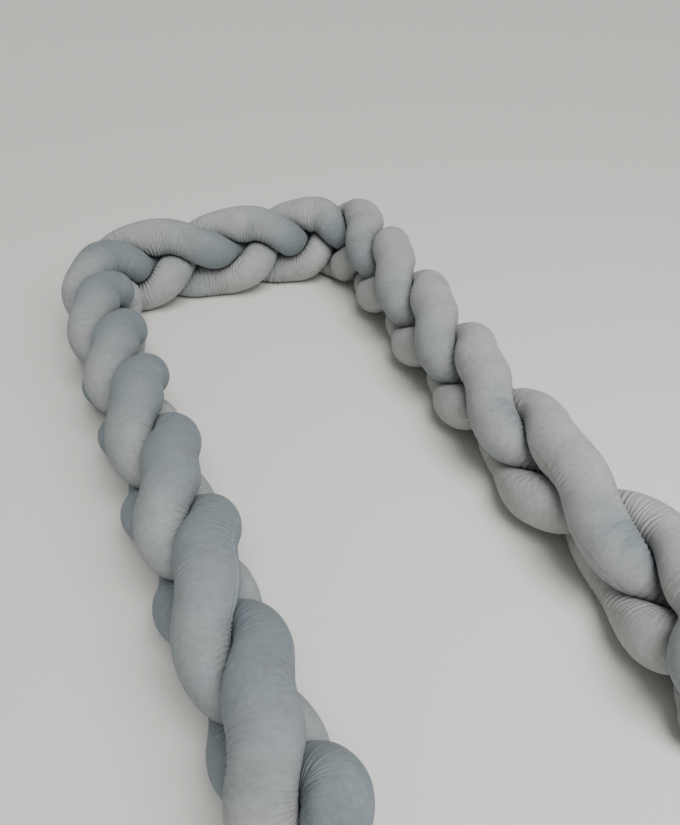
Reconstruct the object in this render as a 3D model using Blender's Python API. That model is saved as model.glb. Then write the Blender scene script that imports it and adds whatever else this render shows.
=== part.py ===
"""Braided crib bumper: three stuffed velvet tubes plaited together and laid in a U.

The U is 0.63 m wide and 1.21 m long. Each tube is one closed solid. Where two tubes
press on each other both go flat, and so does the underside of what lies on the
ground. Metres, +Z up, resting on z = 0.
"""
import math

import bpy
import numpy as np

COLLECTION = "crib_bumper"

# One stuffed tube, and how three of them lie in the plait.
TUBE_RADIUS = 0.035      # of the tube where nothing presses on it
BULGE_RADIUS = 0.037     # the furthest that a squeezed tube bulges sideways
HOLD = 0.35              # how long a tube stays at the side before it crosses over
FLOOR_SQUASH = 0.007     # how much the plait's weight flattens its lowest tubes
CLEARANCE = 0.0036       # aimed at between two tubes that touch, before faceting
END_DROOP = 0.014        # how far the loose ends sink towards the ground
END_DROOP_LENGTH = 0.12

# The middle line of the U, seen from above, from the near end of the left arm
# round the far run and back along the right arm.
MIDDLE_LINE = (
    # x, y
    (-0.210, -0.587),
    (-0.230, -0.400),
    (-0.245, -0.075),
    (-0.260, 0.235),
    (-0.265, 0.365),
    (-0.252, 0.483),
    (-0.224, 0.535),
    (-0.169, 0.554),
    (0.169, 0.553),
    (0.226, 0.534),
    (0.251, 0.488),
    (0.246, 0.325),
    (0.232, -0.005),
    (0.228, -0.170),
    (0.240, -0.330),
    (0.238, -0.480),
    (0.185, -0.630),
)
LINE_ROUNDING = 0.15     # length over which the corners of that line are eased

# A row for each time that a tube comes over the top of the plait, each tube in its
# turn: how far along the middle line it does so, how high the plait is there, how
# far the tubes swing in and out, and how far the plait leans outwards, or inwards
# where that is negative.
# It is pulled tight along the far run and loose near its own ends.
CREST_COLUMNS = ("along", "height", "swing", "lean_deg")
CRESTS = (
    (0.045, 0.141, 0.034, 1),     # left arm
    (0.175, 0.153, 0.020, 3),
    (0.370, 0.153, 0.024, -5),
    (0.520, 0.158, 0.025, -8),
    (0.695, 0.158, 0.023, -4),
    (0.820, 0.158, 0.024, -2),
    (0.960, 0.158, 0.024, 4),
    (1.080, 0.159, 0.024, 6),     # far end
    (1.220, 0.161, 0.027, 7),
    (1.400, 0.160, 0.028, 6),
    (1.530, 0.159, 0.024, 5),
    (1.650, 0.174, 0.022, 4),     # right arm
    (1.790, 0.168, 0.023, 2),
    (1.970, 0.157, 0.026, 0),
    (2.130, 0.149, 0.025, -2),
    (2.340, 0.148, 0.028, 1),
    (2.585, 0.142, 0.029, 7),
    (2.700, 0.139, 0.036, 4),
)
CREST_ROUNDING = 0.20    # length over which the steps between those rows are eased

# Name, turn in which it comes over the top, and how much of the middle line it
# leaves free at the start and at the end.
TUBES = (
    # name, turn, start, end
    ("strand_a", 0, 0.052, 0.075),
    ("strand_b", 1, 0.040, 0.075),
    ("strand_c", 2, 0.028, 0.060),
)

# The round closed ends of a tube.
CAP_LENGTH = 0.040
CAP_BLUNTNESS = 2.4      # 2 is a half ball, more is blunter
CAP_TIP = 0.10           # width of the small flat at the very end, beside the tube's

# How finely the tubes are cut.
LINE_STEPS = 1100
RINGS = 200
SIDES = 14
CAP_RINGS = 5
EASE_PASSES = 5
GIRTH_PASSES = 6
REACH = 0.13             # how far along the line a tube looks for its neighbours

VELVET_COLOUR = (0.300, 0.345, 0.355, 1.0)
VELVET_ROUGHNESS = 0.85


def clear_scene():
    for old in list(bpy.data.objects):
        bpy.data.objects.remove(old, do_unlink=True)


def lengths_along(points):
    steps = np.linalg.norm(np.diff(points, axis=0), axis=1)
    return np.concatenate([[0.0], np.cumsum(steps)])


def eased(values, window):
    """A running mean with soft shoulders that keeps the two ends where they are."""
    half = window // 2
    weights = np.hanning(2 * half + 3)[1:-1]
    weights /= weights.sum()
    before = 2 * values[0] - values[half:0:-1]
    after = 2 * values[-1] - values[-2:-half - 2:-1]
    return np.convolve(np.concatenate([before, values, after]), weights, "valid")


def unit(vectors):
    return vectors / np.linalg.norm(vectors, axis=-1, keepdims=True)


def middle_line():
    """Distance along the middle line, its points seen from above, its direction."""
    corners = np.array(MIDDLE_LINE)
    along = lengths_along(corners)
    distance = np.linspace(0.0, along[-1], LINE_STEPS)
    window = int(LINE_ROUNDING / distance[1])
    x = eased(np.interp(distance, along, corners[:, 0]), window)
    y = eased(np.interp(distance, along, corners[:, 1]), window)
    points = np.stack([x, y, np.zeros(LINE_STEPS)], axis=1)
    return distance, points, unit(np.gradient(points, distance, axis=0))


def crest_column(distance, name):
    """One column of the crest table, eased and read at every step of the line."""
    rows = np.array(CRESTS)
    values = np.interp(distance, rows[:, 0], rows[:, CREST_COLUMNS.index(name)])
    return eased(values, int(CREST_ROUNDING / distance[1]))


def plait_phase(distance):
    """The angle of the plait along its line: a third of a turn from crest to crest."""
    crests = np.array(CRESTS)[:, 0]
    first_gap = crests[1] - crests[0]
    last_gap = crests[-1] - crests[-2]
    stations = np.concatenate([[crests[0] - first_gap], crests, [crests[-1] + last_gap]])
    angles = math.pi / 2 + (np.arange(len(stations)) - 1) * 2 * math.pi / 3
    return eased(np.interp(distance, stations, angles), int(CREST_ROUNDING / distance[1]))


def tube_lines():
    """The middle line of each tube, as the plait carries it along the U."""
    distance, middle, forward = middle_line()
    lean = np.radians(crest_column(distance, "lean_deg"))[:, None]
    swing = crest_column(distance, "swing")
    rise = crest_column(distance, "height") / 2 + FLOOR_SQUASH / 2 - TUBE_RADIUS
    to_end = np.minimum(distance, distance[-1] - distance)
    droop = END_DROOP * np.clip(1.0 - to_end / END_DROOP_LENGTH, 0.0, 1.0)
    middle[:, 2] = rise + TUBE_RADIUS - FLOOR_SQUASH - eased(droop, 20)
    inward = np.stack([forward[:, 1], -forward[:, 0], np.zeros(LINE_STEPS)], axis=1)
    up = np.array([0.0, 0.0, 1.0])
    across = np.cos(lean) * up - np.sin(lean) * inward
    through = np.cos(lean) * inward + np.sin(lean) * up
    phase = plait_phase(distance)
    lines = []
    for _, turn, _, _ in TUBES:
        angle = phase + turn * 2 * math.pi / 3
        side = -(np.sin(2 * angle) + HOLD * np.sin(4 * angle)) / (1 + 0.4 * HOLD)
        lines.append(middle + (rise * np.sin(angle))[:, None] * across
                     + (swing * side)[:, None] * through)
    return distance, lines


def ring_stations(distance, start, end):
    """Where the rings of one tube stand: close together in the round ends."""
    first = start
    last = distance[-1] - end
    turn = np.linspace(0.0, math.pi / 2, CAP_RINGS + 1)
    cap = CAP_LENGTH * (1.0 - np.cos(turn))
    body = np.linspace(first + CAP_LENGTH, last - CAP_LENGTH, RINGS - 2 * CAP_RINGS)
    return np.concatenate([first + cap[:-1], body, (last - cap[:-1])[::-1]])


def cap_scale(stations, first, last):
    """How far the tube narrows towards its two blunt round ends."""
    to_end = np.minimum(stations - first, last - stations)
    gone = 1.0 - np.clip(to_end / CAP_LENGTH, 0.0, 1.0)
    return np.maximum((1.0 - gone ** CAP_BLUNTNESS) ** (1 / CAP_BLUNTNESS), CAP_TIP)


def spoke_limit(spokes, towards, margin):
    """How far along each spoke it is as near to a neighbouring line as to its own."""
    facing = spokes @ towards.T + margin
    square = np.sum(towards ** 2, axis=1)
    reach = np.where(facing > 1e-5, square / (2 * np.maximum(facing, 1e-5)), np.inf)
    return reach.min(axis=1)


def room(centre, spokes, others, own):
    """How long each spoke of a ring can be before it meets something.

    A spoke stops halfway to the nearest other tube, at the inside of its own
    tube's bend, and at the ground.
    """
    halfway = spoke_limit(spokes, others - centre, CLEARANCE)
    bend = spoke_limit(spokes, own - centre, -CLEARANCE / 2)
    ground = centre[2] / np.maximum(-spokes[:, 2], 1e-6)
    return np.minimum(np.minimum(halfway, bend), np.minimum(ground, BULGE_RADIUS))


def squeezed(limit, scale):
    """Tube radii inside the limits: what is pressed flat bulges out elsewhere.

    The cloth doesn't stretch, so a ring keeps its girth as far as it can.
    """
    free = np.full(len(limit), TUBE_RADIUS)
    girth = 2 * math.pi * TUBE_RADIUS
    step_cosine = math.cos(2 * math.pi / SIDES)
    for _ in range(GIRTH_PASSES):
        radii = np.minimum(limit, free[:, None])
        after = np.roll(radii, -1, axis=1)
        edges = np.sqrt(radii ** 2 + after ** 2 - 2 * radii * after * step_cosine)
        free = np.clip(free * girth / edges.sum(axis=1), TUBE_RADIUS, BULGE_RADIUS)
    free = eased(free, 5)
    radii = np.minimum(limit, free[:, None] * scale[:, None])
    for _ in range(EASE_PASSES):
        round_ring = (np.roll(radii, 1, axis=1) + np.roll(radii, -1, axis=1)) / 4 + radii / 2
        radii = round_ring.copy()
        radii[1:-1] = round_ring[1:-1] / 2 + (round_ring[2:] + round_ring[:-2]) / 4
        radii = np.minimum(radii, np.minimum(limit, BULGE_RADIUS * scale[:, None]))
    return radii


def tube_rings(distance, lines, number):
    """Every ring of one tube, as an array of rings by sides by x, y, z."""
    _, _, start, end = TUBES[number]
    line = lines[number]
    stations = ring_stations(distance, start, end)
    centres = np.stack([np.interp(stations, distance, line[:, i]) for i in range(3)], axis=1)
    slope = np.gradient(line, distance, axis=0)
    forward = np.stack([np.interp(stations, distance, slope[:, i]) for i in range(3)], axis=1)
    forward = unit(forward)
    up = np.array([0.0, 0.0, 1.0])
    top = unit(up - forward * (forward @ up)[:, None])
    side = np.cross(forward, top)
    turn = np.arange(SIDES) * 2 * math.pi / SIDES
    spokes = np.cos(turn)[None, :, None] * side[:, None] + np.sin(turn)[None, :, None] * top[:, None]
    limit = np.zeros((len(stations), SIDES))
    spans = [(distance > first) & (distance < distance[-1] - last) for _, _, first, last in TUBES]
    for i, station in enumerate(stations):
        near = np.abs(distance - station) < REACH
        others = np.concatenate([lines[k][near & spans[k]] for k in range(len(lines)) if k != number])
        limit[i] = room(centres[i], spokes[i], others, line[near])
    scale = cap_scale(stations, start, distance[-1] - end)
    rings = centres[:, None] + spokes * squeezed(limit, scale)[..., None]
    rings[..., 2] = np.maximum(rings[..., 2], 0.0)
    return rings


def centred(all_rings):
    """The tubes moved so that the box round all of them stands over the origin."""
    points = np.concatenate([rings.reshape(-1, 3) for rings in all_rings])
    low = points.min(axis=0)
    high = points.max(axis=0)
    shift = np.array([(low[0] + high[0]) / 2, (low[1] + high[1]) / 2, low[2]])
    return [rings - shift for rings in all_rings]


def loft(name, rings):
    """A closed mesh through the rings, with a small flat face at each end."""
    count = len(rings)
    corners = [tuple(point) for point in rings.reshape(-1, 3)]
    faces = []
    for i in range(count - 1):
        for j in range(SIDES):
            k = (j + 1) % SIDES
            faces.append((i * SIDES + j, (i + 1) * SIDES + j, (i + 1) * SIDES + k, i * SIDES + k))
    faces.append(tuple(range(SIDES)))
    faces.append(tuple(reversed(range((count - 1) * SIDES, count * SIDES))))
    mesh = bpy.data.meshes.new(name)
    mesh.from_pydata(corners, [], faces)
    mesh.update()
    return mesh


def velvet(name):
    material = bpy.data.materials.new(name + "_velvet")
    material.use_nodes = True
    shader = material.node_tree.nodes["Principled BSDF"]
    shader.inputs["Base Color"].default_value = VELVET_COLOUR
    shader.inputs["Roughness"].default_value = VELVET_ROUGHNESS
    shader.inputs["Metallic"].default_value = 0.0
    return material


def make_tubes():
    collection = bpy.data.collections.new(COLLECTION)
    bpy.context.scene.collection.children.link(collection)
    distance, lines = tube_lines()
    all_rings = centred([tube_rings(distance, lines, i) for i in range(len(TUBES))])
    for (name, _, _, _), rings in zip(TUBES, all_rings):
        mesh = loft(name, rings)
        mesh.materials.append(velvet(name))
        for polygon in mesh.polygons:
            polygon.use_smooth = True
        collection.objects.link(bpy.data.objects.new(name, mesh))


clear_scene()
make_tubes()
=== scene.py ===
# %% [markdown]
# # A braided crib bumper
#
# Three long velvet tubes, stuffed with fibre and plaited together, lie in a U that is open
# at its near end. We make each tube the way it is sewn: a flat panel of cloth is rolled,
# closed along one seam and gathered shut at both ends. Then it is laid along its path
# through the plait, blown up by the cloth solver, puckered where it bends, and given its
# pile. Everything is in metres, with +Z up.
#
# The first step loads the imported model. Its solids are the fixed frame, and the tubes made
# here take their places, so its box is measured before anything is added. After it come
# the modules, Blender's own and numpy for work on many points at once, and three small
# things that are wanted all the way through.

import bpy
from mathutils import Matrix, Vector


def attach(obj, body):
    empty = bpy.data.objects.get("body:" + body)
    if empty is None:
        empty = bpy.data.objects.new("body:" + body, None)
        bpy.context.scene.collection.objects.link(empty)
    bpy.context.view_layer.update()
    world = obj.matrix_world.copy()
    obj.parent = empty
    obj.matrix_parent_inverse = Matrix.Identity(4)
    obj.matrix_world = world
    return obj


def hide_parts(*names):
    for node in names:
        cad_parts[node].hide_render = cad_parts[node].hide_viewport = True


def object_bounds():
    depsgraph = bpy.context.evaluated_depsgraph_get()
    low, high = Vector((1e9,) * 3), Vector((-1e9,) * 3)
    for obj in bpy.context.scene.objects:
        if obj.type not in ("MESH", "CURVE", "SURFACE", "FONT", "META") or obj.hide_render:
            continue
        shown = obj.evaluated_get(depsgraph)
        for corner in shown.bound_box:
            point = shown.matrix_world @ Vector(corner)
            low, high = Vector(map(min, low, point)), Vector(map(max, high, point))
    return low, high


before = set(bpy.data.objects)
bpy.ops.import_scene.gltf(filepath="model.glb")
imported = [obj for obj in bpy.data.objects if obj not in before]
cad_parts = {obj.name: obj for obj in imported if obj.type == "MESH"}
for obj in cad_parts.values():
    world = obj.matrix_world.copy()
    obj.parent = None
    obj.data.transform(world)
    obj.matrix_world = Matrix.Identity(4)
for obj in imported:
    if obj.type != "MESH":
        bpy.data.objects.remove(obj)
cad_low, cad_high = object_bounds()
print("frame box", [round(v, 4) for v in cad_low], [round(v, 4) for v in cad_high])

# %% Modules and first helpers
import math
import time

import bmesh
import bpy
import numpy as np
from mathutils import Matrix, Vector

TURN = 2 * math.pi


def new_object(name, data):
    """An object with this data, put into the scene."""
    made = bpy.data.objects.new(name, data)
    bpy.context.scene.collection.objects.link(made)
    return made


def mm(metres):
    return round(1000 * float(metres), 2)


print("Blender", bpy.app.version_string)

# %% [markdown]
# ## The camera
#
# The picture looks down on the U from over its near left end. The camera was worked out
# from straight lines in the view, so we write down its place and its three angles, and
# build its matrix from its three directions: right, up and back. Focal length is in
# pixels of a picture 825 pixels high, and the sensor is 36 mm on its longer side.

# %% Place the camera
CAMERA_PLACE = (-0.2952, -0.7561, 0.7412)
CAMERA_DOWN = 0.6809        # angles in radians
CAMERA_TO_THE_RIGHT = 0.3979
CAMERA_ROLL = 0.0191
FOCAL_PIXELS = 737.09
PICTURE_HEIGHT = 825
SENSOR_MM = 36.0

forward = Vector((math.sin(CAMERA_TO_THE_RIGHT) * math.cos(CAMERA_DOWN),
                  math.cos(CAMERA_TO_THE_RIGHT) * math.cos(CAMERA_DOWN),
                  -math.sin(CAMERA_DOWN)))
level = Vector((math.cos(CAMERA_TO_THE_RIGHT), -math.sin(CAMERA_TO_THE_RIGHT), 0.0))
above = level.cross(forward)
right = math.cos(CAMERA_ROLL) * level + math.sin(CAMERA_ROLL) * above
up = math.cos(CAMERA_ROLL) * above - math.sin(CAMERA_ROLL) * level

camera = new_object("camera", bpy.data.cameras.new("camera"))
turned = Matrix((right, up, -forward)).transposed().to_4x4()
camera.matrix_world = Matrix.Translation(CAMERA_PLACE) @ turned
camera.data.sensor_width = SENSOR_MM
camera.data.lens = FOCAL_PIXELS / PICTURE_HEIGHT * SENSOR_MM
camera.data.clip_start = 0.01
bpy.context.scene.camera = camera
print("camera at", CAMERA_PLACE, "lens", round(camera.data.lens, 2), "mm")

# %% [markdown]
# ## Floor and light
#
# The bumper lies on a plain pale floor. Velvet shows its form by broad soft light: a small
# lamp would give it hard spots that cloth doesn't have. A very wide sun from the near side
# lights all of the floor alike, so the backdrop stays even, and a panel above the near end
# makes the nearer lobes a little lighter. An even pale surrounding fills the hollows.

# %% Floor
FLOOR_SIZE = 60.0
FLOOR_BELOW = 0.0002     # the floor lies this far under the tubes
FLOOR_COLOUR = (0.72, 0.72, 0.695, 1.0)
FLOOR_ROUGHNESS = 0.8
FLOOR_SPECULAR = 0.2

floor_mesh = bpy.data.meshes.new("floor")
plane = bmesh.new()
bmesh.ops.create_grid(plane, x_segments=1, y_segments=1, size=FLOOR_SIZE / 2)
bmesh.ops.translate(plane, verts=plane.verts, vec=(0.0, 0.0, -FLOOR_BELOW))
plane.to_mesh(floor_mesh)
plane.free()
floor = new_object("floor", floor_mesh)

floor_finish = bpy.data.materials.new("pale floor")
floor_finish.use_nodes = True
floor_shader = floor_finish.node_tree.nodes["Principled BSDF"]
floor_shader.inputs["Base Color"].default_value = FLOOR_COLOUR
floor_shader.inputs["Roughness"].default_value = FLOOR_ROUGHNESS
floor_shader.inputs["Specular IOR Level"].default_value = FLOOR_SPECULAR
floor_mesh.materials.append(floor_finish)
print("floor", FLOOR_SIZE, "m square")

# %% Lights
LIGHTS = (
    # name, kind, place, aimed at, size in metres or degrees, strength, colour
    ("wide sun", "SUN", (0.04, -0.85, 1.7), (0.0, 0.0, 0.0), 38.0, 2.30, (1.0, 0.99, 0.97)),
    ("near panel", "AREA", (0.4, -1.0, 1.4), (0.25, -0.3, 0.0), 1.0, 16.0, (1.0, 0.985, 0.96)),
)
SURROUND = (0.90, 0.90, 0.87, 1.0)
SURROUND_STRENGTH = 0.32

for name, kind, place, aim, size, strength, colour in LIGHTS:
    lamp = bpy.data.lights.new(name, kind)
    if kind == "SUN":
        lamp.angle = math.radians(size)
    else:
        lamp.shape = "SQUARE"
        lamp.size = size
    lamp.energy = strength
    lamp.color = colour
    lamp_object = new_object(name, lamp)
    turn = (Vector(aim) - Vector(place)).to_track_quat("-Z", "Y")
    lamp_object.matrix_world = Matrix.Translation(place) @ turn.to_matrix().to_4x4()

world = bpy.data.worlds.new("studio")
world.use_nodes = True
world.node_tree.nodes["Background"].inputs["Color"].default_value = SURROUND
world.node_tree.nodes["Background"].inputs["Strength"].default_value = SURROUND_STRENGTH
bpy.context.scene.world = world
print(len(LIGHTS), "soft lights")

# %% [markdown]
# ## Small helpers
#
# The tubes are long and regular, so their points are kept as arrays: rows along the tube
# and columns round it. The first helper smooths a row of numbers and leaves its two ends
# where they are. The second gives directions a length of one. The third makes soft random
# hills from a coarse table of seeded numbers, so that wrinkles and shades differ from
# place to place, and are the same at every run. Each kind of hill has a line in one table.

# %% Smoothing, directions and soft noise
HILLS = {
    # name: metres from hill to hill along the cloth, hills round the tube, first seed
    "pucker drift": (0.050, 5, 11),
    "pucker jitter": (0.014, 9, 16),
    "pucker slack": (0.010, 4, 21),
    "pucker patches": (0.045, 5, 31),
    "single puckers": (0.011, 6, 36),
    "large lumps": (0.055, 4, 41),
    "small lumps": (0.028, 7, 51),
    "seam wander": (0.030, 3, 61),
    "seam glint": (0.008, 3, 66),
    "large brushing": (0.060, 4, 71),
    "small brushing": (0.024, 9, 81),
    "fine brushing": (0.012, 14, 86),
    "ragged edges": (0.009, 10, 91),
}


def eased(values, window):
    """A running mean with soft shoulders that keeps the two ends where they are."""
    half = max(window // 2, 1)
    weights = np.hanning(2 * half + 3)[1:-1]
    weights /= weights.sum()
    before = 2 * values[0] - values[half:0:-1]
    after = 2 * values[-1] - values[-2:-half - 2:-1]
    return np.convolve(np.concatenate([before, values, after]), weights, "valid")


def unit(vectors):
    return vectors / np.maximum(np.linalg.norm(vectors, axis=-1, keepdims=True), 1e-12)


def hills(along, around, hill_length, hills_round, seed):
    """Soft noise from 0 to 1 over a tube: along is in metres and around from 0 to 1."""
    count = int(along.max() / hill_length) + 4
    table = np.random.default_rng(seed).random((count, hills_round))
    row = along / hill_length
    column = around * hills_round
    row_0 = np.floor(row).astype(int)
    column_0 = np.floor(column).astype(int)
    row_part = row - row_0
    column_part = column - column_0
    row_part = row_part ** 2 * (3 - 2 * row_part)
    column_part = column_part ** 2 * (3 - 2 * column_part)
    left = column_0 % hills_round
    beside = (column_0 + 1) % hills_round
    near = table[row_0, left] * (1 - column_part) + table[row_0, beside] * column_part
    far = table[row_0 + 1, left] * (1 - column_part) + table[row_0 + 1, beside] * column_part
    return near * (1 - row_part) + far * row_part


def tube_hills(tube, name):
    """One kind of hills, on the cloth of one tube."""
    hill_length, hills_round, seed = HILLS[name]
    place = (tube["grid_along"], tube["grid_around"])
    return hills(*place, hill_length, hills_round, seed + tube["number"])


def varied(noise, least, more):
    """A strength that goes from its least up by so much more, as the noise says."""
    return least + more * noise


print("helpers ready,", len(HILLS), "kinds of hills")

# %% [markdown]
# ## The path of the plait
#
# Seen from above, the plait follows one line along the U. The solid model has the same
# values, because the dressed tubes must lie where the solids lie. A tube comes over the
# top of the plait once for every row of CRESTS, each of the three in its turn. Between the
# rows the plait turns evenly. That gives the loose near ends and the tight far run.

# %% The middle line and the crests
MIDDLE_LINE = (
    # x, y from the near end of the left arm round to the near end of the right arm
    (-0.210, -0.587), (-0.230, -0.400), (-0.245, -0.075), (-0.260, 0.235), (-0.265, 0.365),
    (-0.252, 0.483), (-0.224, 0.535), (-0.169, 0.554), (0.169, 0.553), (0.226, 0.534),
    (0.251, 0.488), (0.246, 0.325), (0.232, -0.005), (0.228, -0.170), (0.240, -0.330),
    (0.238, -0.480), (0.185, -0.630),
)
LINE_ROUNDING = 0.15     # length over which the corners of that line are eased
LINE_STEPS = 1100
CREST_COLUMNS = ("along", "height", "swing", "lean_deg")
CRESTS = (
    (0.045, 0.141, 0.034, 1), (0.175, 0.153, 0.020, 3), (0.370, 0.153, 0.024, -5),
    (0.520, 0.158, 0.025, -8), (0.695, 0.158, 0.023, -4), (0.820, 0.158, 0.024, -2),
    (0.960, 0.158, 0.024, 4), (1.080, 0.159, 0.024, 6), (1.220, 0.161, 0.027, 7),
    (1.400, 0.160, 0.028, 6), (1.530, 0.159, 0.024, 5), (1.650, 0.174, 0.022, 4),
    (1.790, 0.168, 0.023, 2), (1.970, 0.157, 0.026, 0), (2.130, 0.149, 0.025, -2),
    (2.340, 0.148, 0.028, 1), (2.585, 0.142, 0.029, 7), (2.700, 0.139, 0.036, 4),
)
CREST_ROUNDING = 0.20    # length over which the steps between those rows are eased


def middle_line():
    """Distance along the middle line, its points seen from above, its direction."""
    corners = np.array(MIDDLE_LINE)
    steps = np.linalg.norm(np.diff(corners, axis=0), axis=1)
    along = np.concatenate([[0.0], np.cumsum(steps)])
    distance = np.linspace(0.0, along[-1], LINE_STEPS)
    window = int(LINE_ROUNDING / distance[1])
    x = eased(np.interp(distance, along, corners[:, 0]), window)
    y = eased(np.interp(distance, along, corners[:, 1]), window)
    points = np.stack([x, y, np.zeros(LINE_STEPS)], axis=1)
    return distance, points, unit(np.gradient(points, distance, axis=0))


def crest_column(distance, name):
    """One column of the crest table, eased and read at every step of the line."""
    rows = np.array(CRESTS)
    values = np.interp(distance, rows[:, 0], rows[:, CREST_COLUMNS.index(name)])
    return eased(values, int(CREST_ROUNDING / distance[1]))


def plait_phase(distance):
    """The angle of the plait along its line: a third of a turn from crest to crest."""
    crests = np.array(CRESTS)[:, 0]
    before = 2 * crests[0] - crests[1]
    after = 2 * crests[-1] - crests[-2]
    stations = np.concatenate([[before], crests, [after]])
    angles = math.pi / 2 + (np.arange(len(stations)) - 1) * TURN / 3
    return eased(np.interp(distance, stations, angles), int(CREST_ROUNDING / distance[1]))


distance, middle, ahead = middle_line()
print("the plait is", round(distance[-1], 3), "m long")

# %% [markdown]
# ## Three tubes through the plait
#
# In a flat plait each tube goes up over the middle, down along one side, back under and up
# the other side: a lying figure of eight, drawn out along the line. A sine gives the rise,
# and a sine of twice the angle the swing from side to side. A little of the fourth turn
# makes the tubes stay at the sides longer before they cross.

# %% The lines of the three tubes
TUBE_RADIUS = 0.035      # where nothing presses on a tube
HOLD = 0.35              # how long a tube stays at the side before it crosses over
HOLD_WIDENS = 0.4        # how much wider HOLD makes the swing, which is divided out again
FLOOR_SQUASH = 0.007     # how much the plait's weight flattens its lowest tubes
END_DROOP = 0.014        # how far the loose ends sink
END_DROOP_LENGTH = 0.12
END_DROOP_EASING = 20    # steps of the line over which that starts softly
TUBES = (
    # name, turn in which it comes over the top, free at the start, free at the end
    ("strand_a", 0, 0.052, 0.075),
    ("strand_b", 1, 0.040, 0.075),
    ("strand_c", 2, 0.028, 0.060),
)


def tube_lines():
    """The middle line of each tube, as the plait carries it along the U."""
    lean = np.radians(crest_column(distance, "lean_deg"))[:, None]
    swing = crest_column(distance, "swing")
    rise = crest_column(distance, "height") / 2 + FLOOR_SQUASH / 2 - TUBE_RADIUS
    to_end = np.minimum(distance, distance[-1] - distance)
    droop = END_DROOP * np.clip(1.0 - to_end / END_DROOP_LENGTH, 0.0, 1.0)
    centre = middle.copy()
    centre[:, 2] = rise + TUBE_RADIUS - FLOOR_SQUASH - eased(droop, END_DROOP_EASING)
    inward = np.stack([ahead[:, 1], -ahead[:, 0], np.zeros(LINE_STEPS)], axis=1)
    upward = np.array([0.0, 0.0, 1.0])
    across = np.cos(lean) * upward - np.sin(lean) * inward
    through = np.cos(lean) * inward + np.sin(lean) * upward
    phase = plait_phase(distance)
    lines = []
    for _, turn, _, _ in TUBES:
        angle = phase + turn * TURN / 3
        side = -(np.sin(2 * angle) + HOLD * np.sin(4 * angle)) / (1 + HOLD_WIDENS * HOLD)
        lines.append(centre + (rise * np.sin(angle))[:, None] * across
                     + (swing * side)[:, None] * through)
    return lines


lines = tube_lines()
lengths = [float(np.linalg.norm(np.diff(points, axis=0), axis=1).sum()) for points in lines]
print("tube lengths", np.round(lengths, 2))

# %% [markdown]
# ## How a stuffed tube gives way
#
# A stuffed tube is round where it is free, and flat where it presses on another tube or on
# what it lies on. Instead of a collision between three soft bodies, each ring of a tube
# gets spokes, and each spoke ends at the nearest of four things: half way to the next
# tube, the inside of the tube's own bend, the floor, or the furthest that the cloth
# stretches. The cloth keeps its girth, so a ring that is pressed flat grows elsewhere.

# %% Rings with spokes
SPOKES = 72
ROWS = 2040              # rings along a tube, so that a pucker has about four of them
BULGE_RADIUS = 0.0358    # the furthest a tube bulges; the coarser solid needs 1 mm more
CLEARANCE = 0.0007       # left between two tubes that touch
REACH = 0.13             # how far along the line a tube looks for its neighbours
BEND_ROOM = 0.95         # share of the room inside a tight bend that a ring may fill
CAP_LENGTH = 0.040       # of the round closed end of a tube
CAP_BLUNTNESS = 2.4      # 2 is a half ball, more is blunter
CAP_TIP = 0.02           # width of the very end, beside the tube's
CAP_ROWS = 26
GIRTH_PASSES = 6
FREE_EASING = 40         # rows over which the free part of the ring changes its size
EASE_PASSES = 70


def spoke_limit(spokes, towards, margin):
    """How far along each spoke it is as near to a neighbouring line as to its own."""
    facing = spokes @ towards.T + margin
    square = np.sum(towards ** 2, axis=1)
    reach = np.where(facing > 1e-5, square / (2 * np.maximum(facing, 1e-5)), np.inf)
    return reach.min(axis=1)


def squeezed(limit, scale):
    """Spoke lengths inside the limits, with the girth kept and the edges softened."""
    free = np.full(len(limit), TUBE_RADIUS)
    step_cosine = math.cos(TURN / SPOKES)
    for _ in range(GIRTH_PASSES):
        radii = np.minimum(limit, free[:, None])
        after = np.roll(radii, -1, axis=1)
        edges = np.sqrt(radii ** 2 + after ** 2 - 2 * radii * after * step_cosine)
        girth = edges.sum(axis=1)
        free = np.clip(free * TURN * TUBE_RADIUS / girth, TUBE_RADIUS, BULGE_RADIUS)
    free = eased(free, FREE_EASING)
    most = np.minimum(limit, BULGE_RADIUS * scale[:, None])
    radii = np.minimum(limit, free[:, None] * scale[:, None])
    for _ in range(EASE_PASSES):
        radii = (np.roll(radii, 1, axis=1) + np.roll(radii, -1, axis=1)) / 4 + radii / 2
        radii[1:-1] = radii[1:-1] / 2 + (radii[2:] + radii[:-2]) / 4
        radii = np.minimum(radii, most)
    return radii


def ring_stations(first, last):
    """Where the rings stand along the line: close together in the round ends."""
    turn = np.linspace(0.0, math.pi / 2, CAP_ROWS + 1)
    cap = CAP_LENGTH * (1.0 - np.cos(turn))
    body = np.linspace(first + CAP_LENGTH, last - CAP_LENGTH, ROWS - 2 * CAP_ROWS)
    return np.concatenate([first + cap[:-1], body, (last - cap[:-1])[::-1]])


def read_at(stations, values):
    """The three columns of an array along the line, read at these stations."""
    return np.stack([np.interp(stations, distance, values[:, i]) for i in range(3)], axis=1)


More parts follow.
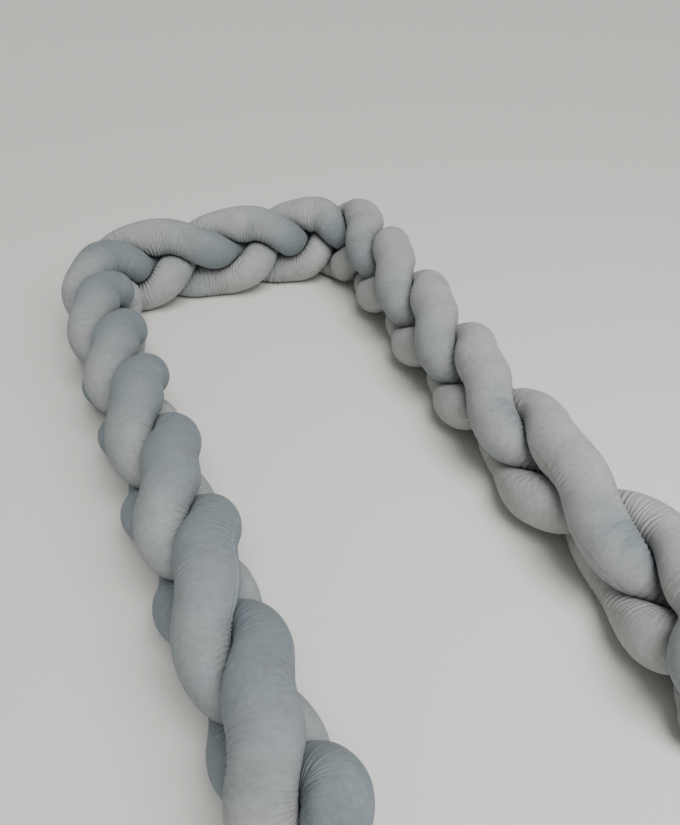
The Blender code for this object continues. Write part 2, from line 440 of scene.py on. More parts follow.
def shaped_tube(number):
    """Centres, directions and spoke lengths of every ring of one tube."""
    name, _, start, end = TUBES[number]
    first, last = start, distance[-1] - end
    stations = ring_stations(first, last)
    centres = read_at(stations, lines[number])
    along = unit(read_at(stations, np.gradient(lines[number], distance, axis=0)))
    top = unit(np.array([0.0, 0.0, 1.0]) - along * along[:, 2:])
    side = np.cross(along, top)
    angles = np.arange(SPOKES) * TURN / SPOKES
    spokes = np.cos(angles)[:, None] * side[:, None] + np.sin(angles)[:, None] * top[:, None]
    spans = [(distance > a) & (distance < distance[-1] - b) for _, _, a, b in TUBES]
    limit = np.zeros((ROWS, SPOKES))
    for i in range(ROWS):
        near = np.abs(distance - stations[i]) < REACH
        others = np.concatenate([lines[k][near & spans[k]] for k in range(3) if k != number])
        halfway = spoke_limit(spokes[i], others - centres[i], CLEARANCE)
        bend = spoke_limit(spokes[i], lines[number][near] - centres[i], -CLEARANCE / 2)
        bend = bend * BEND_ROOM
        ground = centres[i, 2] / np.maximum(-spokes[i, :, 2], 1e-6)
        limit[i] = np.minimum(np.minimum(halfway, bend), np.minimum(ground, BULGE_RADIUS))
    to_end = np.minimum(stations - first, last - stations)
    gone = 1.0 - np.clip(to_end / CAP_LENGTH, 0.0, 1.0)
    scale = np.maximum((1.0 - gone ** CAP_BLUNTNESS) ** (1 / CAP_BLUNTNESS), CAP_TIP)
    return {"name": name, "number": number, "stations": stations, "to_end": to_end,
            "centres": centres, "along": along, "top": top, "side": side,
            "limit": limit, "radii": squeezed(limit, scale)}


tubes = [shaped_tube(number) for number in range(3)]
print("rings cut:", [tube["radii"].shape for tube in tubes])

# %% [markdown]
# ## Where the seam runs, and the columns of the cloth
#
# Each tube is sewn along its length. The seam wanders round the tube, because a plaited
# tube twists a little: it shows along the inner edge of the large lobe near the front of
# each arm, and is underneath elsewhere. It is fine, so the columns of the panel stand
# close together beside it. Angles go round a tube from 0 on the inner side of the U to 90
# on top.

# %% Seam angles and columns
COLUMNS = 48
SEAM_COLUMN_WIDTH = 0.24     # of a column beside the seam, measured by one elsewhere
NARROW_COLUMNS = 3.0         # on each side of the seam
GROWING_COLUMNS = 3.0        # beyond those, until they have their full width
SEAM_EASING = 120            # rows over which the seam changes its course
SEAM_ANGLES = {
    # distance along the middle line, angle in degrees
    "strand_a": ((0.0, 250), (0.6, 300), (1.2, 250), (1.9, 310), (2.22, 366), (2.45, 362),
                 (2.8, 300)),
    "strand_b": ((0.0, 350), (0.28, 390), (0.42, 388), (0.7, 310), (1.2, 250), (2.3, 235),
                 (2.8, 250)),
    "strand_c": ((0.0, 290), (0.7, 230), (1.3, 270), (1.9, 270), (2.12, 300), (2.35, 330),
                 (2.8, 280)),
}


def column_shares():
    """How far round the tube each column stands, from the seam at 0 to the seam at 1."""
    middle_of_column = (np.arange(COLUMNS) + 0.5) / COLUMNS
    from_seam = np.minimum(middle_of_column, 1 - middle_of_column) * COLUMNS
    grown = np.clip((from_seam - NARROW_COLUMNS) / GROWING_COLUMNS, 0.0, 1.0)
    width = SEAM_COLUMN_WIDTH + (1 - SEAM_COLUMN_WIDTH) * grown ** 2 * (3 - 2 * grown)
    return np.concatenate([[0.0], np.cumsum(width)]) / width.sum()


def four_point(a, b, c, d, part):
    """A smooth curve from b to c, as it comes from a and goes on to d."""
    square = 2 * a - 5 * b + 4 * c - d
    cube = 3 * (b - c) + d - a
    return b + 0.5 * part * (c - a + part * (square + part * cube))


def spoke_length_at(lengths, angles):
    """Spoke lengths read between the spokes, for rows of angles."""
    place = (angles / TURN) % 1.0 * SPOKES
    base = np.floor(place).astype(int)
    rows = np.arange(len(lengths))[:, None]
    a, b, c, d = (lengths[rows, (base + k) % SPOKES] for k in (-1, 0, 1, 2))
    return four_point(a, b, c, d, place - base)


def rolled(tube, rows, angles):
    """The points of a tube at these rows and angles."""
    length = spoke_length_at(tube["radii"][rows], angles)[..., None]
    side, top = tube["side"][rows][:, None], tube["top"][rows][:, None]
    spokes = np.cos(angles)[..., None] * side + np.sin(angles)[..., None] * top
    return tube["centres"][rows][:, None] + spokes * length


def column_angles(tube):
    """Where each column of the cloth stands in every ring."""
    # The panel is rolled the other way round, so that its right side shows outside.
    return tube["seam_angle"][:, None] - TURN * shares[None, :-1]


shares = column_shares()
every_row = np.arange(ROWS)
for tube in tubes:
    seam = np.array(SEAM_ANGLES[tube["name"]])
    seam_angle = np.radians(np.interp(tube["stations"], seam[:, 0], seam[:, 1]))
    tube["seam_angle"] = eased(seam_angle, SEAM_EASING)
    tube["points"] = rolled(tube, every_row, column_angles(tube))
everything = np.concatenate([tube["points"].reshape(-1, 3) for tube in tubes])
low, high = everything.min(axis=0), everything.max(axis=0)
to_frame = (np.array(cad_low) + np.array(cad_high)) / 2 - (low + high) / 2
to_frame[2] = -low[2]
for tube in tubes:
    tube["points"] += to_frame
    tube["centres"] += to_frame
print("tubes", np.round(high - low, 4), "moved by", np.round(to_frame, 4))

# %% [markdown]
# ## From a flat panel to a closed tube
#
# Now the cloth itself. A grid is the panel as it is cut, with its own flat coordinates. Its
# points are rolled to their places, the two long edges are welded along the seam, and the
# two ends are closed. Because the panel keeps its flat coordinates, the pile can follow
# the cloth later, round every bend.

# %% A panel that is rolled and sewn
def sewn_panel(name, points):
    """A closed tube from a flat panel, its points given in rows by columns."""
    rows, columns = points.shape[:2]
    panel = bmesh.new()
    panel.loops.layers.uv.new("cloth")
    bmesh.ops.create_grid(panel, x_segments=columns, y_segments=rows - 1, size=0.5, calc_uvs=True)
    corners = list(panel.verts)
    places = np.concatenate([points, points[:, :1]], axis=1).reshape(-1, 3).tolist()
    for vertex, place in zip(corners, places):
        vertex.co = place
    near_edge = corners[0::columns + 1]
    far_edge = corners[columns::columns + 1]
    bmesh.ops.weld_verts(panel, targetmap=dict(zip(far_edge, near_edge)))
    open_edges = [edge for edge in panel.edges if edge.is_boundary]
    bmesh.ops.holes_fill(panel, edges=open_edges, sides=0)
    mesh = bpy.data.meshes.new(name)
    panel.to_mesh(mesh)
    panel.free()
    return mesh


print("a panel has", ROWS, "rows and", COLUMNS, "columns")

# %% [markdown]
# ## Blowing the tubes up
#
# The shape so far is drawn by rule, and it is too even. Real filling pushes the cloth out
# until it is tight, and where a tube bends, the cloth on the inside of the bend buckles.
# Blender's cloth solver does both. A coarser net of each tube is enough for it. Its rest
# shape is a second shape key: the same tube laid straight, as it was cut, so the solver
# knows how much cloth there is. Air pressure fills it, gravity is off because the path
# already sags, and a weak hold keeps the tube on that path.

# %% The solver's nets
NET_STEP = 3             # the net has every third ring
NET_COLUMNS = 32
NET_FRAMES = 14
NET_HOLD = 0.30          # how firmly the path holds the net, from 0 to 1
NET_UNEVEN = 0.0003      # the uneven start that lets buckles form where they like
NET_SEED = 5             # of that start, for the first tube
CUT_QUANTILE = 0.85      # the cloth is cut to the longer side of each bend
CUT_EASING = 180         # rows over which that cut is evened out
NET_CLOTH = {
    "quality": 4,
    "mass": 0.002,
    "tension_stiffness": 15,
    "compression_stiffness": 15,
    "shear_stiffness": 4,
    "bending_stiffness": 0.02,
    "tension_damping": 5,
    "compression_damping": 5,
    "shear_damping": 5,
    "bending_damping": 0.5,
    "use_pressure": True,
    "uniform_pressure_force": 1.5,
}


def cut_lengths(points):
    """The length that each row of cloth was cut to, from its spacing round the tube."""
    gaps = np.linalg.norm(np.diff(points, axis=0), axis=2)
    longest = np.quantile(gaps, CUT_QUANTILE, axis=1)
    return eased(np.append(longest, longest[-1]), CUT_EASING // NET_STEP)


def straight_tube(points):
    """The same cloth as it was cut: straight, with the girth of every ring kept."""
    girth = np.linalg.norm(points - np.roll(points, -1, axis=1), axis=2).sum(axis=1)
    angle = np.arange(NET_COLUMNS) * TURN / NET_COLUMNS
    radius = girth[:, None] / TURN
    height = np.cumsum(cut_lengths(points))[:, None] + 0 * angle
    return np.stack([radius * np.cos(angle), height, radius * np.sin(angle)], axis=2)


def make_net(tube):
    """A coarse net in the shape of a tube, its points, and the key of how it was cut."""
    rows = np.arange(0, ROWS, NET_STEP)
    share = np.arange(NET_COLUMNS) / NET_COLUMNS
    angles = tube["seam_angle"][rows][:, None] - TURN * share[None, :]
    points = rolled(tube, rows, angles)
    random = np.random.default_rng(NET_SEED + tube["number"])
    uneven = random.normal(0.0, NET_UNEVEN, points.shape)
    name = tube["name"] + "_net"
    net = new_object(name, sewn_panel(name, points + uneven))
    net.shape_key_add(name="laid")
    cut = net.shape_key_add(name="cut")
    cut.data.foreach_set("co", straight_tube(points).astype(np.float32).ravel())
    held = net.vertex_groups.new(name="held")
    count = len(rows) * NET_COLUMNS
    cap_count = CAP_ROWS // NET_STEP * NET_COLUMNS
    held.add(range(count), NET_HOLD, "REPLACE")
    held.add(range(cap_count), 1.0, "REPLACE")
    held.add(range(count - cap_count, count), 1.0, "REPLACE")
    return net, points, cut


def fill_net(net, cut):
    """Soft cloth settings, with air pressure in place of the filling."""
    filling = net.modifiers.new("filling", "CLOTH")
    cloth = filling.settings
    for name, value in NET_CLOTH.items():
        setattr(cloth, name, value)
    cloth.effector_weights.gravity = 0.0
    cloth.vertex_group_mass = "held"
    cloth.rest_shape_key = cut
    filling.collision_settings.use_collision = False
    filling.point_cache.frame_start = 1
    filling.point_cache.frame_end = NET_FRAMES


def where_net_is(net, shape):
    """The corners of a net as the solver left them."""
    solved = net.evaluated_get(bpy.context.evaluated_depsgraph_get())
    flat = np.zeros(len(solved.data.vertices) * 3, dtype=np.float32)
    solved.data.vertices.foreach_get("co", flat)
    return flat.reshape(shape)


print("a net has", len(range(0, ROWS, NET_STEP)), "rows and", NET_COLUMNS, "columns")

# %% Run the solver
started = time.time()
net_moves = [None] * len(tubes)
nets = [make_net(tube) for tube in tubes]
for net, _, cut in nets:
    fill_net(net, cut)
for frame_number in range(1, NET_FRAMES + 1):
    bpy.context.scene.frame_set(frame_number)
for number, (net, points, _) in enumerate(nets):
    net_moves[number] = where_net_is(net, points.shape) - points
for net, _, _ in nets:
    bpy.data.objects.remove(net, do_unlink=True)
bpy.context.scene.frame_set(1)
average = [mm(np.linalg.norm(move, axis=2).mean()) for move in net_moves]
print("solver moved the cloth by", average, "mm on average")
print("solver took", round(time.time() - started, 1), "s")

# %% [markdown]
# ## Carrying the solver's result over
#
# The solver is free to shift a whole ring, or to fold the net row against row, and both
# would look wrong. So the mean move of each ring is taken away, neighbouring rows are
# averaged once, and the rest is capped. A smooth curve through four net points reads the
# move between them. Last, no point may come out of the room that its ring has.

# %% Take over the moves
MOST_MOVE = 0.004        # of any point, away from the path


def softened_move(move):
    """The net's move without drift, zigzag or leaps."""
    move = move - move.mean(axis=1, keepdims=True)
    move[1:-1] = move[1:-1] / 2 + (move[2:] + move[:-2]) / 4
    move = move / 2 + (np.roll(move, 1, axis=1) + np.roll(move, -1, axis=1)) / 4
    size = np.linalg.norm(move, axis=2, keepdims=True)
    return move * MOST_MOVE * np.tanh(size / MOST_MOVE) / np.maximum(size, 1e-9)


def read_between(move):
    """The net's move read at every row and column of the fine cloth."""
    place = np.clip(every_row / NET_STEP, 0, len(move) - 1)
    base = np.floor(place).astype(int)
    rows = [move[np.clip(base + k, 0, len(move) - 1)] for k in (-1, 0, 1, 2)]
    by_row = four_point(*rows, (place - base)[:, None, None])
    place = shares[:-1] * NET_COLUMNS
    base = np.floor(place).astype(int)
    columns = [by_row[:, (base + k) % NET_COLUMNS] for k in (-1, 0, 1, 2)]
    return four_point(*columns, (place - base)[None, :, None])


def kept_in_room(tube, points):
    """Points moved in along their spokes where they have left the room of their ring."""
    out = points - tube["centres"][:, None]
    side = np.einsum("rcx,rx->rc", out, tube["side"])
    top = np.einsum("rcx,rx->rc", out, tube["top"])
    most = spoke_length_at(tube["limit"], np.arctan2(top, side))
    share = np.minimum(most / np.maximum(np.hypot(side, top), 1e-9), 1.0) - 1.0
    in_ring = side[..., None] * tube["side"][:, None] + top[..., None] * tube["top"][:, None]
    kept = points + in_ring * share[..., None]
    kept[..., 2] = np.maximum(kept[..., 2], 0.0)
    return kept


for tube, move in zip(tubes, net_moves):
    if move is not None:
        moved = tube["points"] + read_between(softened_move(move))
        before = tube["points"]
        tube["points"] = kept_in_room(tube, moved)
        change = np.linalg.norm(tube["points"] - before, axis=2)
        print(tube["name"], "moved", mm(change.mean()), "mm on average and",
              mm(change.max()), "mm at most")

# %% [markdown]
# ## Puckers in the bends
#
# Cloth doesn't shrink. On the inside of a bend there is more cloth than the bend needs, and
# it gathers in short puckers across the tube, finer than the solver's net. We measure how
# much too long the cloth is at each point, by comparing each row's spacing there with its
# spacing on the outside of the bend, and let the puckers grow from that. A tube that lies
# underneath is also pushed up into folds beside the tube that presses on it. So puckers
# come where a real tube has them, at the concave edges of the lobes and next to the
# contacts, and fade out by themselves. They are strongest on the far run, which is
# plaited tightest. Soft noise makes every group and every single pucker a little deeper
# or shallower than the next, and bends its line.

# %% Spare cloth
SPARE_BLUR = (5, 1)      # rows and columns over which the spacing is evened out
SPARE_EASING = 60        # rows over which the cut is evened out
MOST_SPARE = 0.7         # no more of the cloth than this counts as spare


def soft_blur(field, rows, columns):
    """Blur over rows and, round the tube, over columns."""
    kernel = np.hanning(2 * rows + 3)[1:-1]
    kernel /= kernel.sum()
    padded = np.concatenate([field[rows:0:-1], field, field[-2:-rows - 2:-1]])
    out = np.zeros_like(field)
    for k, weight in enumerate(kernel):
        out += weight * padded[k:k + len(field)]
    for _ in range(columns):
        out = (np.roll(out, 1, axis=1) + np.roll(out, -1, axis=1)) / 4 + out / 2
    return out


def spare_cloth(tube):
    """Share of the cloth's length that is too much, and the distance along the cloth."""
    points = tube["points"]
    gaps = np.linalg.norm(np.diff(points, axis=0), axis=2)
    gaps = soft_blur(np.concatenate([gaps, gaps[-1:]]), *SPARE_BLUR)
    cut = eased(np.quantile(gaps, CUT_QUANTILE, axis=1), SPARE_EASING)
    spare = np.clip(1.0 - gaps / cut[:, None], 0.0, MOST_SPARE)
    return soft_blur(spare, *SPARE_BLUR), np.cumsum(cut)


for tube in tubes:
    tube["spare"], tube["cloth_along"] = spare_cloth(tube)
    tube["grid_along"] = np.repeat(tube["cloth_along"][:, None], COLUMNS, axis=1)
    tube["grid_around"] = np.repeat(shares[None, :-1], ROWS, axis=0)
    print(tube["name"], "has", round(float(tube["cloth_along"][-1]), 3), "m of cloth, and at",
          "most", round(float(tube["spare"].max()), 2), "of it is spare")

# %% Where another tube presses
PRESSED_IN = 0.008       # a spoke this much too short counts as fully pressed
UNDER = (0.095, 0.055)   # centre heights between which a tube comes to lie underneath
FOLD_SPREAD = (8, 34)    # rows and columns over which folds reach out from a contact


def pressed_cloth(tube, rows, columns):
    """From 0 to 1: where a tube is pressed flat, blurred over rows and columns."""
    pressed = np.clip((TUBE_RADIUS - tube["radii"]) / PRESSED_IN, 0.0, 1.0)
    return soft_blur(spoke_length_at(pressed, column_angles(tube)), rows, columns)


def pressed_from_above(tube):
    """From 0 to 1: near a contact, on a tube that lies underneath."""
    near = pressed_cloth(tube, *FOLD_SPREAD)
    under = np.clip((UNDER[0] - tube["centres"][:, 2]) / (UNDER[0] - UNDER[1]), 0.0, 1.0)
    at_cap = np.clip(tube["to_end"] / CAP_LENGTH - 1.0, 0.0, 1.0)
    return near * (under * at_cap)[:, None]


for tube in tubes:
    tube["pushed_up"] = pressed_from_above(tube)
    print(tube["name"], "is pushed up by", round(float(tube["pushed_up"].max()), 2), "at most")

# %% Puckers
PUCKER = 0.0088          # cloth taken up by one pucker, along the tube
PUCKER_DEPTH = 0.0019    # at most
PUCKER_SHARPNESS = 2.4   # 1 is an even wave, more makes narrower valleys
PUCKER_DRIFT = 1.3       # how far puckers wander along the tube, in puckers
PUCKER_JITTER = 0.9      # the same over a shorter way
PATCHES = (0.40, 0.7)    # depth of a group of puckers: the least, and how much more
SINGLES = (0.35, 1.2)    # depth of a single pucker, in the same way
MOST_PUCKERED = 0.5      # no more of the cloth than this goes into puckers
SLACK_TAKEN_UP = 0.08    # share of spare cloth that the nap and filling hide
SLACK_VARIES = 0.18      # how much more they hide in places
PUCKERED = (
    # distance along the middle line, strength: the far run is plaited tightest
    (0.0, 0.8), (0.95, 0.9), (1.10, 2.1), (1.75, 2.1), (1.95, 1.1), (2.20, 1.2), (2.8, 0.7),
)
FOLD_SHARE = 0.80        # spare cloth that is pushed up where another tube lies on this one
FOLD_PATCHES = (0.4, 0.8)    # as for puckers


def outward(points):
    """Directions out of the cloth, for points in rows by columns."""
    along = np.gradient(points, axis=0)
    around = np.roll(points, -1, axis=1) - np.roll(points, 1, axis=1)
    return unit(np.cross(around, along))


for tube in tubes:
    drift = tube_hills(tube, "pucker drift")
    jitter = tube_hills(tube, "pucker jitter")
    slack = tube_hills(tube, "pucker slack")
    patches = tube_hills(tube, "pucker patches")
    singles = tube_hills(tube, "single puckers")
    folds = FOLD_SHARE * tube["pushed_up"] * varied(patches, *FOLD_PATCHES)
    wanted = tube["spare"] + folds - SLACK_TAKEN_UP - SLACK_VARIES * slack
    depth = 2 * PUCKER / math.pi * np.sqrt(np.clip(wanted, 0.0, MOST_PUCKERED))
    strength = np.interp(tube["stations"], *zip(*PUCKERED))[:, None]
    depth = depth * varied(patches, *PATCHES) * varied(singles, *SINGLES) * strength
    most = PUCKER_DEPTH * np.sqrt(strength)
    depth = most * np.tanh(depth / most)
    turns = tube["grid_along"] / PUCKER + PUCKER_DRIFT * drift + PUCKER_JITTER * jitter
    wave = 0.5 + 0.5 * np.cos(TURN * turns)
    tube["out"] = outward(tube["points"])
    tube["relief"] = -depth * wave ** PUCKER_SHARPNESS
    print(tube["name"], "deepest pucker", mm(depth.max()), "mm")

# %% [markdown]
# ## Lumps, seam and gathers
#
# Three more things make a sewn and stuffed tube. The filling is never even, so the cloth
# rises and falls by up to a millimetre over a few centimetres. The seam is a fine groove
# between two soft shoulders, its thread draws the cloth into tiny ripples, and the pile is
# parted along it, marked by a painted glint, a thin pale line. And at each closed end the
# cloth is gathered into pleats that run to the tip. Where a bend is so tight that the
# cloth is packed against itself, there is no room for any relief, and it fades out.

# %% Lumps, seam and gathers
LUMP_HEIGHT = 0.0012
SEAM_DEPTH = 0.0011
SEAM_WIDTH = 0.0015
SHOULDER_HEIGHT = 0.0005
SHOULDER_PLACE = 0.0036      # from the seam
SEAM_GLINT_WIDTH = 0.0016    # of the painted glint, a pale line where the pile is parted
SEAM_GLINT = (0.4, 0.6)      # its strength: the least, and how much more
RIPPLE = 0.0075              # spacing of the thread's ripples
RIPPLE_HEIGHT = 0.00045
RIPPLE_REACH = 2.4 * SHOULDER_PLACE
PLEATS = 8
PLEAT_DEPTH = 0.0034
PLEAT_LENGTH = 0.055
PLEAT_FADE = 1.3             # 1 fades evenly away from the tip, more fades sooner
PLEAT_WANDER = 0.5           # in pleats
PLEAT_SHARPNESS = 1.6
PACKED = (0.45, 0.62)        # spare cloth between which the room for relief runs out
PACKED_BLUR = (6, 4)         # rows and columns
GIRTH = TURN * TUBE_RADIUS

for tube in tubes:
    # The large and the half as strong small lumps, brought down to lie round zero.
    lumps = tube_hills(tube, "large lumps") + tube_hills(tube, "small lumps") / 2 - 0.75
    from_seam = np.minimum(tube["grid_around"], 1 - tube["grid_around"]) * GIRTH
    groove = np.exp(-(from_seam / SEAM_WIDTH) ** 2)
    shoulder = np.exp(-((from_seam - SHOULDER_PLACE) / SEAM_WIDTH) ** 2)
    wander = tube_hills(tube, "seam wander")
    ripple = np.cos(TURN * (tube["grid_along"] / RIPPLE + wander))
    ripple = ripple * np.exp(-(from_seam / RIPPLE_REACH) ** 2)
    drawn = np.clip(1.0 - tube["to_end"] / PLEAT_LENGTH, 0.0, 1.0)[:, None] ** PLEAT_FADE
    pleats = np.cos(TURN * (PLEATS * tube["grid_around"] + PLEAT_WANDER * wander))
    narrow = np.clip(tube["to_end"] / CAP_LENGTH, 0.0, 1.0)[:, None]
    # A painted glint: the seam's pale line where the pile is parted.
    glint = varied(tube_hills(tube, "seam glint"), *SEAM_GLINT)
    tube["seam"] = np.exp(-(from_seam / SEAM_GLINT_WIDTH) ** 2) * glint
    relief = tube["relief"]
    relief += LUMP_HEIGHT * lumps * narrow
    relief += (SHOULDER_HEIGHT * shoulder - SEAM_DEPTH * groove) * narrow
    relief += RIPPLE_HEIGHT * ripple * wander * narrow
    valleys = (0.5 + 0.5 * pleats) ** PLEAT_SHARPNESS
    relief -= PLEAT_DEPTH * valleys * drawn * np.minimum(3 * narrow, 1.0)
    packed = np.clip((tube["spare"] - PACKED[0]) / (PACKED[1] - PACKED[0]), 0.0, 1.0)
    relief *= 1.0 - soft_blur(packed, *PACKED_BLUR)
    finished = tube["points"] + tube["out"] * relief[..., None]
    tube["finished"] = kept_in_room(tube, finished)
    print(tube["name"], "relief from", mm(relief.min()), "to", mm(relief.max()), "mm")

# %% [markdown]
# ## Painted shades of the pile, kept on the cloth
#
# Velvet's pile leans one way along the cloth. Seen against the pile it looks deeper and
# bluer, seen along it paler. That play of light is painted into the colour here, as
# painted shade and sheen. In a plait that shows at every lobe: pale where a tube climbs,
# deep where it dives under the next one. It also makes one arm of the U bluer than the
# other, because the same tubes run up one arm and come back down the other. Asking the
# camera for that would make the colour slide over the cloth when the camera moves. So
# three things are mixed into one number at each point of the cloth: the slope of the tube
# and the way it runs, which give the painted shade, and soft patches where hands have
# brushed the pile, two of them on the near lobes of the right arm. Two more numbers say
# where the cloth has slack, for the creases, and where another tube presses on it, for
# painted shade at the contacts.

# %% Painted pile shade, brushing and creases as attributes
DIVE_SHADE = 2.20              # share of the tube's slope in the painted shade
AWAY_SHADE = 1.28              # share of the way that the tube runs along the U, in the painted shade
BRUSHED = 0.42           # share of the softly brushed patches
FINE_BRUSHED = 0.6       # and of the finest of them, beside the larger
DIVE_EASING = 30         # rows
AWAY_EASING = 60
BRUSHED_BACK = (
    # Patches of the near lobes that a hand has brushed back: tube, distance along the
    # middle line, angle, half the length in metres, half the width in degrees, strength
    ("strand_a", 2.47, 92, 0.050, 40, 2.0),
    ("strand_b", 2.24, 100, 0.045, 32, 1.4),
)
RAGGED = (0.6, 0.8)      # strength of such a patch: the least, and how much more
CREASE_BLUR = (25, 8)    # rows and columns
FULL_CREASE = 0.25       # spare cloth that makes the fine wrinkles as deep as they get
CONTACT_SHADE_SPREAD = (10, 14)    # rows and columns over which the painted contact shade spreads


def brushed_back(tube, ragged):
    """How strongly each point lies in a patch that is brushed against the pile."""
    angles = np.degrees(column_angles(tube))
    field = np.zeros(angles.shape)
    for name, along, angle, length, width, strength in BRUSHED_BACK:
        if name == tube["name"]:
            beside = (angles - angle + 180) % 360 - 180
            before = tube["stations"][:, None] - along
            field += strength * np.exp(-(before / length) ** 2 - (beside / width) ** 2)
    return field * varied(ragged, *RAGGED)


for tube in tubes:
    # The slope and the way along the U give painted shade and sheen; the brushing is tone that
    # differs from place to place.
    dive_shade = -eased(tube["along"][:, 2], DIVE_EASING)[:, None]
    away_shade = eased(tube["along"][:, 1], AWAY_EASING)[:, None]
    brushed = tube_hills(tube, "large brushing") + tube_hills(tube, "small brushing") - 1.0
    brushed += FINE_BRUSHED * (tube_hills(tube, "fine brushing") - 0.5)
    back = brushed_back(tube, tube_hills(tube, "ragged edges"))
    tube["pile_brushing_and_painted_shade"] = np.tanh(DIVE_SHADE * dive_shade + AWAY_SHADE * away_shade + BRUSHED * brushed + back)
    slack = soft_blur(tube["spare"], *CREASE_BLUR)
    tube["crease"] = np.clip(slack / FULL_CREASE, 0.0, 1.0)
    # Painted shade beside the contacts, where another tube presses on this one.
    tube["painted_contact_shade"] = pressed_cloth(tube, *CONTACT_SHADE_SPREAD)
    print(tube["name"], "pile leans from", round(float(tube["pile_brushing_and_painted_shade"].min()), 2), "to",
          round(float(tube["pile_brushing_and_painted_shade"].max()), 2))

# %% [markdown]
# ## Sewing the three tubes
#
# Everything about a tube is known now, so its panel is made and closed at full detail. The
# four numbers are written to the points of the cloth as attributes. The flat coordinates,
# which a grid has from 0 to 1, are stretched to the panel's own metres, so that a pattern
# has the same size everywhere on the cloth.

# %% Make the three tubes
def write_attribute(mesh, name, values):
    layer = mesh.attributes.new(name, "FLOAT", "POINT")
    layer.data.foreach_set("value", values.astype(np.float32).ravel())


def lay_out_flat(mesh, tube):
    """The flat coordinates of the cloth in metres: round the tube and along it."""
    layer = mesh.uv_layers["cloth"].data
    flat = np.zeros(len(layer) * 2, dtype=np.float32)
    layer.foreach_get("uv", flat)
    flat = flat.reshape(-1, 2)
    flat[:, 0] = np.interp(flat[:, 0], np.linspace(0, 1, COLUMNS + 1), shares * GIRTH)
    flat[:, 1] = np.interp(flat[:, 1], np.linspace(0, 1, ROWS), tube["cloth_along"])
    layer.foreach_set("uv", flat.ravel())


velvet = bpy.data.materials.new("velvet")
for tube in tubes:
    mesh = sewn_panel(tube["name"] + "_cloth", tube["finished"])
    mesh.polygons.foreach_set("use_smooth", np.ones(len(mesh.polygons), dtype=bool))
    for kept in ("pile_brushing_and_painted_shade", "crease", "seam", "painted_contact_shade"):
        write_attribute(mesh, kept, tube[kept])
    lay_out_flat(mesh, tube)
    mesh.materials.append(velvet)
    tube["object"] = new_object(tube["name"] + "_cloth", mesh)
    print(mesh.name, len(mesh.vertices), "points", len(mesh.polygons), "faces")

# %% [markdown]
# ## Velvet
#
# The cloth is a short dense velvet, blue-grey and almost without gloss. Five things are
# mixed. The lean of the pile, painted shade, chooses between a paler, greyer tone and a
# deeper, bluer one. Soft mottles and fine strokes across the tube break that up and shade
# it a little, because pile is never brushed quite even. A fine grain stands for the single
# tufts. A painted glint lightens the seam a little, and painted shade darkens the cloth
# where another tube presses on it. And a bump follows the flat cloth for the faint cross
# wrinkles in the bends, which are too fine for the mesh. A little sheen lifts the surfaces
# that turn away.

# %% Surface of the velvet
VELVET_SURFACE = {
    "Roughness": 0.92,
    "Specular IOR Level": 0.25,
    "Sheen Weight": 0.08,
    "Sheen Roughness": 0.5,
    "Sheen Tint": (0.88, 0.93, 1.0, 1.0),
}

velvet.use_nodes = True
nodes = velvet.node_tree.nodes
links = velvet.node_tree.links
shader = nodes["Principled BSDF"]
for socket, value in VELVET_SURFACE.items():
    shader.inputs[socket].default_value = value
print("velvet has", len(VELVET_SURFACE), "values that are the same all over")

# %% Helpers for its nodes
spots = nodes.new("ShaderNodeTexCoord").outputs["Object"]
flat_cloth = nodes.new("ShaderNodeUVMap")
flat_cloth.uv_map = "cloth"


def add_node(kind, label, values):
    """A node with its values set."""
    node = nodes.new(kind)
    node.label = label
    for name, value in values.items():
        node.inputs[name].default_value = value
    return node


def noise(label, place, scale, detail, roughness):
    """A soft random pattern, read at a place."""
    values = {"Scale": scale, "Detail": detail, "Roughness": roughness}
    node = add_node("ShaderNodeTexNoise", label, values)
    links.new(place, node.inputs["Vector"])
    return node.outputs["Fac"]


def stretched(label, scale):
    """The flat cloth, with its two directions scaled apart."""
    node = add_node("ShaderNodeMapping", label, {"Scale": scale})
    links.new(flat_cloth.outputs["UV"], node.inputs["Vector"])
    return node.outputs["Vector"]


def maths(operation, label, *values):
    """A Math node. Each of its values is a number or another node's socket."""
    node = nodes.new("ShaderNodeMath")
    node.operation = operation
    node.label = label
    for socket, value in zip(node.inputs, values):
        if isinstance(value, (int, float)):
            socket.default_value = value
        else:
            links.new(value, socket)
    return node.outputs["Value"]


def with_share(operation, label, base, part, share):
    """A value with a share of another one added to it or taken from it."""
    return maths(operation, label, base, maths("MULTIPLY", "share", part, share))


def kept_on_cloth(name):
    """One of the numbers that the cloth's points carry."""
    node = nodes.new("ShaderNodeAttribute")
    node.attribute_name = name
    return node.outputs["Fac"]


print("node helpers ready")

# %% Tone: painted shade from the pile's lean, with soft mottles and strokes on it
# Pale and deep velvet stand for the painted lit and painted shaded sides of one cloth; mottles
# and strokes also move between them.
PALE_VELVET_PAINTED_LIT = (0.378, 0.390, 0.378, 1.0)
DEEP_VELVET_PAINTED_SHADED = (0.176, 0.209, 0.232, 1.0)
MOTTLE_SCALE = 26.0                 # features in a metre
BRUSH_SCALE = (120.0, 150.0, 1.0)   # round the tube and along it
MOTTLE_TONE = 0.45                  # how much of the way from pale to deep
STROKE_TONE = 0.30

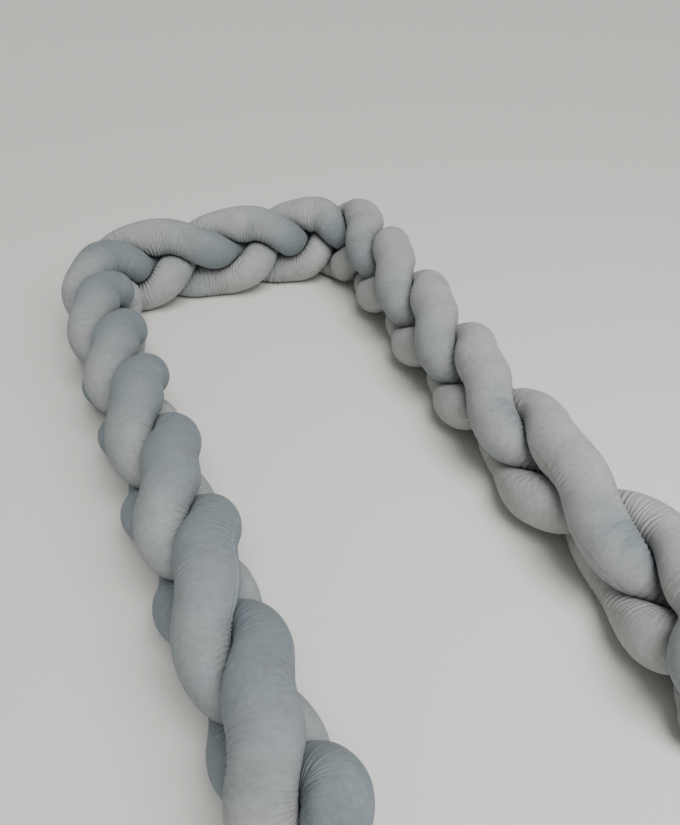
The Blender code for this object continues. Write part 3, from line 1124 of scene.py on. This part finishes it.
mottles = noise("mottles", spots, MOTTLE_SCALE, detail=2.0, roughness=0.5)
mottle = maths("SUBTRACT", "mottle", mottles, 0.5)
brushing = stretched("brushing", BRUSH_SCALE)
strokes = noise("brush strokes", brushing, 1.0, detail=3.0, roughness=0.6)
stroke = maths("SUBTRACT", "stroke", strokes, 0.5)
tone_and_painted_shade = maths("MULTIPLY_ADD", "lean from 0 to 1", kept_on_cloth("pile_brushing_and_painted_shade"), 0.5, 0.5)
tone_and_painted_shade = with_share("ADD", "and mottles", tone_and_painted_shade, mottle, MOTTLE_TONE)
tone_and_painted_shade = with_share("ADD", "and strokes", tone_and_painted_shade, stroke, STROKE_TONE)
colour = nodes.new("ShaderNodeMix")
colour.data_type = "RGBA"
colour.inputs["A"].default_value = PALE_VELVET_PAINTED_LIT
colour.inputs["B"].default_value = DEEP_VELVET_PAINTED_SHADED
links.new(tone_and_painted_shade, colour.inputs["Factor"])
print("tone goes from", PALE_VELVET_PAINTED_LIT[:3], "to", DEEP_VELVET_PAINTED_SHADED[:3])

# %% Shade: tufts, strokes and mottles, a painted glint on the seam and painted shade at the contacts
GRAIN_SCALE = 420.0
TUFT_SHADE = (0.88, 0.24)           # of the darkest, and how much more the lightest has
STROKE_SHADE = 0.65                 # how much lighter or darker
MOTTLE_SHADE = 0.60
# painted glint: how much lighter the seam's line is
PAINTED_GLINT_ON_SEAM = 0.30
# painted shade beside the contacts: how much darker
PAINTED_CONTACT_DARKENING = 0.26

grain = noise("tufts", spots, GRAIN_SCALE, detail=2.0, roughness=0.6)
darkest, lighter = TUFT_SHADE
shade = maths("MULTIPLY_ADD", "tufts", grain, lighter, darkest)
shade = with_share("ADD", "and strokes", shade, stroke, STROKE_SHADE)
shade = with_share("ADD", "and mottles", shade, mottle, MOTTLE_SHADE)
# Painted glint along the seam.
shade = with_share("ADD", "and seam", shade, kept_on_cloth("seam"), PAINTED_GLINT_ON_SEAM)
# Painted shade where another tube presses.
shade = with_share("SUBTRACT", "and contacts", shade, kept_on_cloth("painted_contact_shade"), PAINTED_CONTACT_DARKENING)
shaded = nodes.new("ShaderNodeVectorMath")
shaded.operation = "SCALE"
links.new(colour.outputs["Result"], shaded.inputs[0])
links.new(shade, shaded.inputs["Scale"])
links.new(shaded.outputs["Vector"], shader.inputs["Base Color"])
print("tufts stand", round(1000 / GRAIN_SCALE, 1), "mm apart")

# %% Relief: cross wrinkles where the cloth has slack, and the nap over all of it
WRINKLE_SCALE = (14.0, 170.0, 1.0)
WRINKLE_BUMP = {"Strength": 0.8, "Distance": 0.0034}
NAP_BUMP = {"Strength": 0.35, "Distance": 0.0008}

drawn_out = stretched("drawn out", WRINKLE_SCALE)
wrinkles = noise("cross wrinkles", drawn_out, 1.0, detail=2.0, roughness=0.5)
wrinkles = maths("MULTIPLY", "wrinkles where slack", wrinkles, kept_on_cloth("crease"))
wrinkle_bump = add_node("ShaderNodeBump", "wrinkles", WRINKLE_BUMP)
links.new(wrinkles, wrinkle_bump.inputs["Height"])
nap_bump = add_node("ShaderNodeBump", "nap", NAP_BUMP)
links.new(grain, nap_bump.inputs["Height"])
links.new(wrinkle_bump.outputs["Normal"], nap_bump.inputs["Normal"])
links.new(nap_bump.outputs["Normal"], shader.inputs["Normal"])
print("velvet has", len(nodes), "nodes")

# %% [markdown]
# ## Fitting the cloth to the frame
#
# Last, each tube is tied to the imported model. It rides on its only body, and takes the
# place of the plain solid of the same name.

# %% Ride and replace
for tube in tubes:
    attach(tube["object"], "root")
    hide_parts(tube["name"])
print(len(tubes), "tubes ride on the root body")
